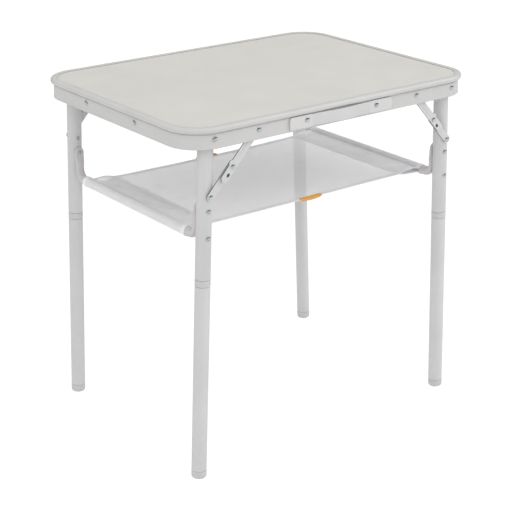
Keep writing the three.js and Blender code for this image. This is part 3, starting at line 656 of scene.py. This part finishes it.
def foot(name, side, row, body):
    """A foot cap: a rounded shoe, hollowed a little below, with a plug inside the tube."""
    node = f"{name}_foot"
    place = leg_place(side, row)
    low, high = corners(node, place)
    edge = 4  # radius of the rounded bottom edge
    base = low.z
    top = high.z - FOOT_PLUG
    profile = [(0, base + 1.0), (4.5, base + 1.0), (5.2, base + 0.2), (TUBE - edge, base)]
    profile += arc(TUBE - edge, base + edge, edge, -75, 0, 6)
    profile += [(TUBE + 0.1, top - 0.9), (TUBE - 0.1, top - 0.2), (TUBE - 0.9, top)]
    profile += [(TUBE - 1.6, top + 0.1), (TUBE - 1.6, high.z - 1)]
    profile += [(TUBE - 2.4, high.z), (0, high.z)]
    piece(node + "_cap", lathe(profile), place, body, COLLAR, "collar_plastic", node)


# ---- knee braces


def centre_of(node):
    """The middle of a CAD node's box, in the table's frame."""
    low, high = corners(node, TABLE)
    return (low + high) / 2


BRACE_TOP = centre_of("right_back_brace_pivot")
BRACE_LOW = centre_of("right_back_brace_leg_rivet")
KNEE = centre_of("right_back_knee_rivet")
LINK_ANGLE = math.atan2(BRACE_TOP.z - BRACE_LOW.z, BRACE_LOW.x - BRACE_TOP.x)
UPPER_LINK = math.hypot(KNEE.x - BRACE_TOP.x, KNEE.z - BRACE_TOP.z)
LOWER_LINK = math.hypot(BRACE_LOW.x - KNEE.x, BRACE_LOW.z - KNEE.z)
LINK = 1.8  # thickness
LINK_TAIL = 22  # how far the upper link runs on past the knee
UPPER_Y = corners("right_back_upper_link", TABLE)[0].y
LOWER_Y = corners("right_back_lower_link", TABLE)[0].y


def link_place(side, row, x, y, z):
    """A link lies in XY from its pivot along +X with +Z out of the table."""
    flip = Matrix.Diagonal((side, row, 1, 1))
    swap = Matrix(((1, 0, 0, 0), (0, 0, 1, 0), (0, 1, 0, 0), (0, 0, 0, 1)))
    lie = Matrix.Rotation(LINK_ANGLE, 4, "Y") @ swap
    return TABLE @ flip @ Matrix.Translation((x, y, z)) @ lie


def upper_link(name, side, row):
    """A long link with a stop nose at the knee, a ribbed middle and a slot in its tail."""
    node = f"{name}_upper_link"
    half, knee = 7, UPPER_LINK
    outline = arc(knee + LINK_TAIL, 0, half, -90, 90, 16)
    outline += [(knee + out, half + up) for out, up in (
        (2.5, 0), (1, 0.5), (0, 1.6), (-1.2, 2.8), (-3, 3.2), (-5, 2.9), (-6.4, 1.6), (-7.6, 0))]
    outline += arc(0, 0, half, 90, 270, 16)
    centre, aside, radius = knee + 15, -1.8, 2.3
    slot = arc(centre + 1, aside, radius, -90, 90, 8) + arc(centre - 1, aside, radius, 90, 270, 8)
    shape = plate([outline, slot], LINK, 0.15)
    # the slot is closed from behind by a face in painted shade, dark as the shadowed gap behind the
    # hole
    rim_points = [shape.verts.new((x, y, 0.25)) for x, y in slot]
    shape.faces.new(rim_points).material_index = 1
    # a rounded rib pressed along the middle of the link, rounded off at both ends
    ribs = []
    start, end = 13, knee - 17
    for i in range(33):
        t = i / 32
        ends = [math.sqrt(max(0.0, 1 - (1 - min(1, u * 10)) ** 2)) + 0.02 for u in (t, 1 - t)]
        width = 2.4 * min(1, *ends)
        angles = [math.radians(a) for a in range(-20, 201, 20)]
        ribs.append([(start + (end - start) * t, width * math.cos(a),
                      LINK - 0.2 + 0.45 * width * math.sin(a)) for a in angles])
    skin(ribs, caps=True, into=shape)
    place = link_place(side, row, BRACE_TOP.x, UPPER_Y, BRACE_TOP.z)
    # its side faces are painted near black as shade
    piece(node + "_plate", shape, place, node, (LEG, PAINTED_EDGE_SHADE), "leg_coating", node)


def lower_link(name, side, row):
    """A plain link with round ends."""
    node = f"{name}_lower_link"
    half = 6.5
    outline = arc(LOWER_LINK, 0, half, -90, 90, 16) + arc(0, 0, half, 90, 270, 16)
    shape = plate([outline], LINK, 0.15)
    place = link_place(side, row, KNEE.x, LOWER_Y, KNEE.z)
    # its side faces are painted near black as shade
    piece(node + "_plate", shape, place, node, (LEG, PAINTED_EDGE_SHADE), "leg_coating", node)


def pin(name, node, side, row, spot, profile, body):
    """A rivet that stands for a CAD node of its own."""
    place = TABLE @ Matrix.Translation((side * spot.x, 0, spot.z)) @ across(row)
    piece(name, lathe(profile), place, body, ZINC, "zinc", node)


def pins(name, side_name, side, row):
    """The rivets of one leg: head out, rolled tail in, spacer bushes between."""
    band = HALF_Y - BAND_FACE
    inner = LEG_INSIDE - RUNNING_GAP
    under = UPPER_Y - RUNNING_GAP
    over = UPPER_Y + LINK
    seat = LOWER_Y + LINK + 0.1
    bush = 5.5

    def stepped(start, low, high, end):
        """A shank with a wider bush from low to high."""
        return [(SHANK, start), (SHANK, low), (bush, low),
                (bush, high), (SHANK, high), (SHANK, end)]

    bush_end = band - 4.2  # the leg's bush ends short of the band
    leg_shank = stepped(inner, LEG_OUTSIDE + RUNNING_GAP, bush_end, band)
    pin(f"{name}_leg_pin", f"{name}_leg_pivot", side, row, Vector((PIVOT.x, 0, PIVOT.z)),
        rivet(inner - TAIL_HEIGHT, leg_shank, band), "top")
    brace_shank = stepped(under, over + RUNNING_GAP, band - BEHIND_BAND, band)
    pin(f"{name}_brace_pin", f"{name}_brace_pivot", side, row, BRACE_TOP,
        rivet(under - TAIL_HEIGHT, brace_shank, band), "top")
    pin(f"{name}_knee_pin", f"{name}_knee_rivet", side, row, KNEE,
        rivet(under - TAIL_HEIGHT, [(SHANK, under), (SHANK, over + 0.1)], over + 0.1),
        f"{name}_upper_link")
    low_shank = stepped(inner, LEG_OUTSIDE + 0.1, LOWER_Y - RUNNING_GAP, seat)
    pin(f"{name}_brace_leg_pin", f"{name}_brace_leg_rivet", side, row, BRACE_LOW,
        rivet(inner - TAIL_HEIGHT, low_shank, seat), f"{side_name}_frame")


# ---- shelf bars

BAR_RADIUS = 8
BAR_DROP = 164.4  # from the pivot line down to the bar's cross run
UPPER_PIN, LOWER_PIN = 118, 162  # from the pivot line down to the bar's rivets


def superellipse(thick, wide, power, sides=28):
    """A squarish oval of half sizes thick and wide; power 2 is a plain ellipse."""
    ring = []
    for i in range(sides):
        a = -2 * math.pi * i / sides
        c, s = math.cos(a), math.sin(a)
        ring.append((math.copysign(abs(c) ** (2 / power), c) * thick,
                     math.copysign(abs(s) ** (2 / power), s) * wide))
    return ring


def shelf_bar(side_name, side):
    """A round bar bent at both ends, each end pressed flat where it is riveted inside a leg."""
    node = f"{side_name}_shelf_bar"
    arm_thick, arm_wide = 4.9, 7.7  # half sizes of the pressed arm
    tip_thick, tip = 2.5, 8.6  # half the tip's thickness, and its radius
    against = LEG_INSIDE - RUNNING_GAP
    arm_y = against - arm_thick
    bend = 17
    arm = []
    for i in range(9):  # the rounded tip of the flattened end
        a = math.radians(90 * i / 8)
        arm.append((-UPPER_PIN - 0.1 + tip * math.cos(a), max(0.6, tip * math.sin(a)), 0.0))
    for rise in (-3, -5, -8, -11, -14, -17, -20, -22):
        arm.append((-UPPER_PIN + rise, 0, ease((-rise - 5) / 17)))
    stations = []
    for z, wide, full in arm:
        thick = tip_thick + (arm_thick - tip_thick) * full
        width = wide or tip + (arm_wide - tip) * full
        power = 3 if wide else 4 - 2 * full
        stations.append((against - thick, z, 0.0, thick, width, power))
    for i in range(13):
        turn = math.radians(90 * i / 12)
        full = ease(i / 12)  # the pressed arm runs out into the round bar through the bend
        stations.append((arm_y - bend * (1 - math.cos(turn)),
                         -BAR_DROP + bend * (1 - math.sin(turn)), turn,
                         arm_thick + (BAR_RADIUS - arm_thick) * full,
                         arm_wide + (BAR_RADIUS - arm_wide) * full, 2))
    stations += [(y, -BAR_DROP, math.pi / 2, BAR_RADIUS, BAR_RADIUS, 2) for y in (120, 60, 0)]
    stations += [(-y, z, math.pi - turn, thick, width, power)
                 for y, z, turn, thick, width, power in reversed(stations[:-1])]
    rings = []
    for y, z, turn, thick, width, power in stations:
        rings.append([(aside, y + out * math.cos(turn), z - out * math.sin(turn))
                      for out, aside in superellipse(thick, width, power)])
    body = f"{side_name}_frame"
    shape = skin(rings, caps=True)
    piece(f"{side_name}_bar", shape, pair_place(side), body, BAR, "bar_coating", node, sharp=60)
    for row_name, row in ROWS:
        for label, reach, tail in (
                ("bar_pin", UPPER_PIN, against - 2 * tip_thick - TAIL_HEIGHT),
                ("bar_low_pin", LOWER_PIN, LEG_INSIDE - 3.0)):
            place = pair_place(side) @ Matrix.Translation((0, 0, -reach)) @ across(row)
            seat = LEG_OUTSIDE + 0.05
            shape = lathe(rivet(tail, [(SHANK, tail + 1.3), (SHANK, seat)], seat))
            piece(f"{side_name}_{row_name}_{label}", shape, place, body, ZINC, "zinc")


# ---- shelf cloth

CLOTH_LOW, CLOTH_HIGH = corners("shelf_cloth", TABLE)
BAR_X = (CLOTH_HIGH.x - CLOTH_LOW.x) / 2 - 9.5
BAR_Z = (CLOTH_HIGH.z + CLOTH_LOW.z) / 2
SEAM_X = BAR_X - 50  # where the sleeve round the bar is sewn
WRAP = BAR_RADIUS + 0.7  # radius of the sleeve round the bar
TOUCH = 164  # angle on the bar where the loose layer meets it, in degrees
MIDDLE_HALF = 146  # half the cloth's width in the middle
FLARE, FLARE_END, FLARE_POWER = 9, 270.3, 5.2  # how each edge widens towards the bars
SAG = 2.5


def half_width(x):
    """Half the cloth's width at x: its long edges draw in towards the middle."""
    return MIDDLE_HALF + FLARE * min(1.0, abs(x) / FLARE_END) ** FLARE_POWER


def sag(x, v):
    """How far the single layer hangs at x and at v across it, from -1 to 1."""
    along = 1 - min(1.0, abs(x) / SEAM_X) ** 2
    return -SAG * along * (0.55 + 0.45 * (1 - v * v))


def pucker(side, s, v):
    """Wrinkles in the loose layer of the sleeve: none at the seam and on the bar."""
    hold = math.sin(math.pi * min(1.0, max(0.0, s))) ** 0.7
    seed = 7.3 * side
    wave = noise.noise(Vector((v * 5.0 + seed, s * 1.4, 0.3)))
    wave += 0.6 * noise.noise(Vector((v * 13 + 2 * s + seed, s * 2.2, 4.1)))
    return hold * (2.4 * wave + 3.2)


def strip_path():
    """(x, z, layer, s) from the middle to the seam, over the bar and back under it to the seam.

    s runs from 0 at the seam to 1 on the bar.
    """
    path = [(SEAM_X * i / 24, 0.0, "single", 0.0) for i in range(25)]
    first = 0.4  # half the gap between the two layers at the seam
    touch_x = BAR_X + WRAP * math.cos(math.radians(TOUCH))
    touch_z = WRAP * math.sin(math.radians(TOUCH))
    for i in range(1, 13):
        s = i / 12
        x = SEAM_X + (touch_x - SEAM_X) * s
        path.append((x, first + (touch_z - first) * s ** 2, "upper", s))
    path += [(BAR_X + x, z, "wrap", 1.0) for x, z in arc(0, 0, WRAP, TOUCH, -TOUCH, 18)[1:]]
    for i in range(1, 13):
        s = 1 - i / 12
        x = SEAM_X + (touch_x - SEAM_X) * s
        path.append((x, -first - (touch_z - first) * s, "lower", s))
    return path


def seam_waver(side, v):
    """The sewn line isn't quite straight."""
    return 2.6 * noise.noise(Vector((v * 4.0 + 11 * side, 0.0, 9.0)))


def seam_bob(side, v):
    """The gathered cloth rises and dips along the seam."""
    wave = noise.noise(Vector((v * 7.0 + 5 * side, 2.0, 6.0)))
    return 1.6 * wave + 0.5 * noise.noise(Vector((v * 24.0, 3.0 * side, 1.0)))


def cloth_point(side, x, z, layer, s, v):
    """A point of the cloth: a step of strip_path, at v across it from -1 to 1."""
    if layer == "single":
        shift = seam_waver(side, v) * (x / SEAM_X) ** 6
        ripple = 0.5 * noise.noise(Vector((side * x / 40, v * 3, 1.7))) * (1 - (x / SEAM_X) ** 4)
        ripple += seam_bob(side, v) * (x / SEAM_X) ** 9
        return Vector((side * (x + shift), v * half_width(x), BAR_Z + z + sag(x, v) + ripple))
    shift = seam_waver(side, v) * (1 - s)
    lift = seam_bob(side, v) * (1 - s) ** 2
    if layer == "upper":
        lift += pucker(side, s, v)
    elif layer == "lower":
        lift -= 0.8 * pucker(side, s, v + 3)
    return Vector((side * (x + shift), v * half_width(x), BAR_Z + z + lift))


def shelf_half(side_name, side):
    """Half the shelf: one layer to the seam, then a sleeve round the bar."""
    across_steps = 64
    path = strip_path()
    shape = bmesh.new()
    uv = shape.loops.layers.uv.new("cloth")
    rows, lengths, run = [], [], 0.0
    for index, (x, z, layer, s) in enumerate(path):
        if index:
            run += math.hypot(x - path[index - 1][0], z - path[index - 1][1])
        lengths.append(run)
        rows.append([(shape.verts.new(cloth_point(side, x, z, layer, s, v)), v * half_width(x))
                     for v in [-1 + 2 * i / across_steps for i in range(across_steps + 1)]])
    for n, (low, high) in enumerate(zip(rows, rows[1:])):
        for i in range(across_steps):
            ring = [(low[i], n), (low[i + 1], n), (high[i + 1], n + 1), (high[i], n + 1)]
            face = shape.faces.new([corner[0][0] for corner in ring])
            for loop, (corner, at) in zip(face.loops, ring):
                loop[uv].uv = (lengths[at] * MM, corner[1] * MM)
    half = piece(f"shelf_{side_name}", shape, TABLE, None, CLOTH, "mesh_cloth", "shelf_cloth",
                 sharp=0, recalc=False)
    extras = [hem(side_name, side, row_name, row) for row_name, row in ROWS]
    extras.append(seam_tape(side_name, side))
    extras.append(stitches(side_name, side))
    for each in [half] + extras:
        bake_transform(each)


HEM_WIDTH = 9
HEM_SECTION = [(0.5, 0.0), (0.35, 0.45), (0.0, 0.62), (-HEM_WIDTH / 2, 0.6), (-HEM_WIDTH, 0.35),
               (-HEM_WIDTH, -0.35), (-HEM_WIDTH / 2, -0.6), (0.0, -0.62), (0.35, -0.45)]


def unwrap(shape, uv, lengths, count):
    """UVs for a strip through rings of `count` points: along it, and round its section."""
    shape.verts.index_update()
    for face in shape.faces:
        for loop in face.loops:
            ring, place = divmod(loop.vert.index, count)
            loop[uv].uv = (lengths[ring] * MM, place * 2.1 * MM)


def hem(side_name, side, row_name, row):
    """The long edge turned over and sewn: a thicker band that follows the cloth's edge."""
    shape = bmesh.new()
    uv = shape.loops.layers.uv.new("cloth")
    path = strip_path()
    edge = [cloth_point(side, *step, row * 1.0) for step in path]
    rings, lengths, run = [], [], 0.0
    for index, step in enumerate(path):
        here = edge[index]
        inner = cloth_point(side, *step, row * (1 - HEM_WIDTH / half_width(step[0])))
        if index + 1 < len(path):
            tangent = (edge[index + 1] - here).normalized()
        else:
            tangent = (here - edge[index - 1]).normalized()
        outward = (here - inner).normalized()
        normal = tangent.cross(outward).normalized()
        if index:
            run += (here - edge[index - 1]).length
        lengths.append(run)
        rings.append([here + outward * out + normal * up for out, up in HEM_SECTION])
    skin(rings, caps=True, into=shape)
    unwrap(shape, uv, lengths, len(HEM_SECTION))
    name = f"shelf_{side_name}_{row_name}_hem"
    return piece(name, shape, TABLE, None, HEM, "mesh_cloth", sharp=60)


def seam_tape(side_name, side):
    """The doubled fold under the sleeve's seam."""
    shape = bmesh.new()
    uv = shape.loops.layers.uv.new("cloth")
    section = ((-6.2, 0.2), (-4.6, 1.1), (3.6, 1.05), (3.6, -0.75), (-1, -0.6), (-6.2, -0.3))
    steps = 64
    rings = []
    for i in range(steps + 1):
        base = cloth_point(side, SEAM_X, 0, "single", 0.0, -1 + 2 * i / steps)
        rings.append([base + Vector((side * x, 0, up)) for x, up in section])
    skin(rings, caps=True, into=shape)
    unwrap(shape, uv, [4.7 * i for i in range(steps + 1)], len(section))
    return piece(f"shelf_{side_name}_seam", shape, TABLE, None, HEM, "mesh_cloth", sharp=60)


STITCH = 3.2  # stitch pitch
STITCH_LENGTH = 2.3


def stitch(shape, start, end, normal, radius=0.26):
    """One stitch: a short bead of thread that dips into the cloth at both ends."""
    along = end - start
    aside = along.normalized().cross(normal).normalized()
    rings = []
    for t, lift, size in ((0.0, -0.25, 0.5), (0.2, 0.12, 1.0), (0.5, 0.2, 1.05),
                          (0.8, 0.12, 1.0), (1.0, -0.25, 0.5)):
        centre = start + along * t + normal * lift
        rings.append([centre + (aside * math.cos(a) + normal * math.sin(a)) * radius * size
                      for a in [2 * math.pi * i / 5 for i in range(5)]])
    skin(rings, caps=True, into=shape)


def stitches(side_name, side):
    """Rows of stitches along the sleeve's seam and along both hems, on both faces."""
    shape = bmesh.new()
    up = Vector((0, 0, 1))
    width = half_width(SEAM_X)
    reach = width - 4  # the rows stop short of the cloth's edges
    for offset, height in ((-3.6, 1.02), (2.2, 1.0)):
        for i in range(int(2 * reach / STITCH)):
            y = -reach + i * STITCH
            for face, rise in ((1, height), (-1, -0.8 * height)):
                ends = []
                for along in (0, STITCH_LENGTH):
                    base = cloth_point(side, SEAM_X, 0, "single", 0.0, (y + along) / width)
                    ends.append(base + Vector((side * offset, 0, rise)))
                stitch(shape, *ends, up * face)
    inset = HEM_WIDTH - 1.6  # from the cloth's edge in to the row along a hem
    for _, row in ROWS:
        for i in range(int(SEAM_X / STITCH)):
            for face in (1, -1):
                ends = []
                for along in (0.4, 0.4 + STITCH_LENGTH):
                    x = STITCH * i + along
                    v = row * (1 - inset / half_width(x))
                    edge = cloth_point(side, x, 0, "single", 0.0, v)
                    ends.append(edge + Vector((0, 0, face * 0.55)))
                stitch(shape, *ends, up * face)
    return piece(f"shelf_{side_name}_stitches", shape, TABLE, None, THREAD, "mesh_cloth", sharp=0)


def shelf_tab(row_name, row):
    """A loop of tape over the edge of the cloth, sewn at both ends and slack between."""
    node = f"{row_name}_shelf_tab"
    low, high = corners(node, TABLE)
    half = (high.x - low.x) / 2 - 1.5
    shift = 2.0 if row < 0 else -6.0  # the photographed tabs aren't quite in the middle
    down, out_by, up_by = (2.2, 1.2, 0) if row < 0 else (4.4, 2.4, 3.4)  # how slack the loop is
    thick = 1.1
    rings = []
    for i in range(49):
        u = -1 + 2 * i / 48
        x = u * half + shift
        slack = (1 - u * u) ** 0.75
        base = BAR_Z + sag(x, 1)
        hang = 0.9 + down * slack
        bulge = out_by * slack
        rise = up_by * slack
        outer = [(-4.2, 1.0 + thick), (-0.6, 1.05 + thick + rise),
                 (0.7, 0.8 + thick * 0.6 + rise), (0.9 + bulge, -0.3 + rise * 0.5),
                 (1.1 + bulge, -hang * 0.5), (0.8 + bulge, -hang), (0.2 + bulge, -hang - 0.35)]
        inner = [(-0.35 + bulge, -hang), (-0.1 + bulge, -hang * 0.5), (-0.1, -0.75),
                 (-4.2, -0.85), (-4.2, -0.62), (0.3, -0.6), (0.45, rise * 0.5),
                 (0.0, 0.7 + rise * 0.8), (-1.2, 0.75 + rise * 0.8), (-4.2, 0.75)]
        edge = MIDDLE_HALF + 0.75
        rings.append([(x, row * (edge + out), base + up) for out, up in outer + inner])
    shape = skin(rings, caps=True)
    piece(f"{row_name}_tab", shape, TABLE, "top", ORANGE, "orange_webbing", node, sharp=50)
    shape = bmesh.new()
    for end in (-1, 1):
        for inset in (2.2, 4.6):
            for k in range(2):
                x = end * (half - inset) + shift
                y = row * (MIDDLE_HALF - 3.6 + k * 2.0)
                z = BAR_Z + sag(x, 1) + 2.15
                ends = Vector((x, y, z)), Vector((x, y + row * 1.6, z))
                stitch(shape, *ends, Vector((0, 0, 1)), 0.3)
    piece(f"{row_name}_tab_stitches", shape, TABLE, "top", THREAD, "orange_webbing", sharp=0)


# ---- build

rim()
tabletop()
handle()
for row_name, row in ROWS:
    rail(row_name, row)
    shelf_tab(row_name, row)
for side_name, side in SIDES:
    shelf_bar(side_name, side)
    shelf_half(side_name, side)
    for row_name, row in ROWS:
        name = f"{side_name}_{row_name}"
        upper_leg(name, side, row, f"{side_name}_frame")
        collar(name, side, row, f"{side_name}_frame")
        lower_leg(name, side, row, f"{name}_lower_leg")
        foot(name, side, row, f"{name}_lower_leg")
        upper_link(name, side, row)
        lower_link(name, side, row)
        pins(name, side_name, side, row)

# ---- stage, light and camera

SKY = 0.88  # strength of the light from all round
FLOOR_SIZE = 30
FLOOR_BOUNCE = 0.86  # the floor as the table's surfaces see it
FLOOR_GLOSS = 0.75  # the floor in reflections
BACKDROP = 1.08  # what the camera sees behind the object, white once clipped
WALLS = ((0.36, (0.01, 0.015, 0.02)), (0.55, (1, 1, 1)))  # dark low down, a white ceiling


def floor():
    """A pale floor that lights the table from below; the camera sees the backdrop through it."""
    s = Shader("floor", Roughness=0.9)
    ray = s.tree.nodes.new("ShaderNodeLightPath").outputs
    bounce = s.mix(ray["Is Glossy Ray"], (FLOOR_BOUNCE,) * 3, (FLOOR_GLOSS,) * 3)
    material = s.finish(Base_Color=bounce, Alpha=s.math("SUBTRACT", 1.0, ray["Is Camera Ray"]))
    mesh = bpy.data.meshes.new("floor")
    half = FLOOR_SIZE / 2
    outline = [(-half, -half, 0), (half, -half, 0), (half, half, 0), (-half, half, 0)]
    mesh.from_pydata(outline, [], [(0, 1, 2, 3)])
    mesh.materials.append(material)
    plane = bpy.data.objects.new("floor", mesh)
    plane.matrix_world = Matrix.Translation((0, 0, -0.001))
    bpy.context.scene.collection.objects.link(plane)


def light(name, position, target, size, power):
    """A round area lamp."""
    data = bpy.data.lights.new(name, "AREA")
    data.shape = "DISK"
    data.size = size
    data.energy = power
    lamp = bpy.data.objects.new(name, data)
    aim = (Vector(target) - Vector(position)).to_track_quat("-Z", "Y")
    lamp.matrix_world = Matrix.Translation(position) @ aim.to_matrix().to_4x4()
    bpy.context.scene.collection.objects.link(lamp)


def sky():
    """Even white light; reflections see the studio's walls, and the camera a white backdrop."""
    world = bpy.data.worlds.new("studio")
    world.use_nodes = True
    nodes, links = world.node_tree.nodes, world.node_tree.links

    def by_ray(kind, others, these):
        """One colour for a kind of ray and another for the others."""
        node = nodes.new("ShaderNodeMix")
        node.data_type = "RGBA"
        links.new(nodes.new("ShaderNodeLightPath").outputs[kind], node.inputs[0])
        for socket, value in ((node.inputs[6], others), (node.inputs[7], these)):
            if isinstance(value, tuple):
                socket.default_value = (*value, 1)
            else:
                links.new(value, socket)
        return node.outputs[2]

    height = nodes.new("ShaderNodeSeparateXYZ")
    links.new(nodes.new("ShaderNodeTexCoord").outputs["Generated"], height.inputs[0])
    walls = nodes.new("ShaderNodeValToRGB")
    for element, (position, tone) in zip(walls.color_ramp.elements, WALLS):
        element.position = position
        element.color = (*tone, 1)
    links.new(height.outputs["Z"], walls.inputs["Fac"])
    seen = by_ray("Is Glossy Ray", (1, 1, 1), walls.outputs["Color"])
    seen = by_ray("Is Camera Ray", seen, (BACKDROP / SKY,) * 3)
    links.new(seen, nodes["Background"].inputs["Color"])
    nodes["Background"].inputs["Strength"].default_value = SKY
    bpy.context.scene.world = world


floor()
sky()
light("key", (2.3, -1.9, 2.4), (0, 0, 0.4), 1.8, 23)
light("fill", (-2.2, -1.4, 2.0), (0, 0, 0.4), 2.0, 8)

# fitted to the photograph: degrees, pixels and metres
YAW, PITCH, ROLL = -37.463, 21.801, 0.055
FOCAL_PIXELS = 1333.95
IMAGE_PIXELS = 512
SENSOR = 36
camera = bpy.data.cameras.new("camera")
camera.sensor_width = SENSOR
camera.lens = FOCAL_PIXELS * SENSOR / IMAGE_PIXELS
viewer = bpy.data.objects.new("camera", camera)
viewer.rotation_euler = (math.radians(90 - PITCH), math.radians(ROLL), math.radians(YAW))
viewer.location = (-1.35884, -1.77106 + MIDDLE_Y * MM, 1.15724)
bpy.context.scene.collection.objects.link(viewer)
bpy.context.scene.camera = viewer
bpy.context.scene.view_settings.view_transform = "Standard"
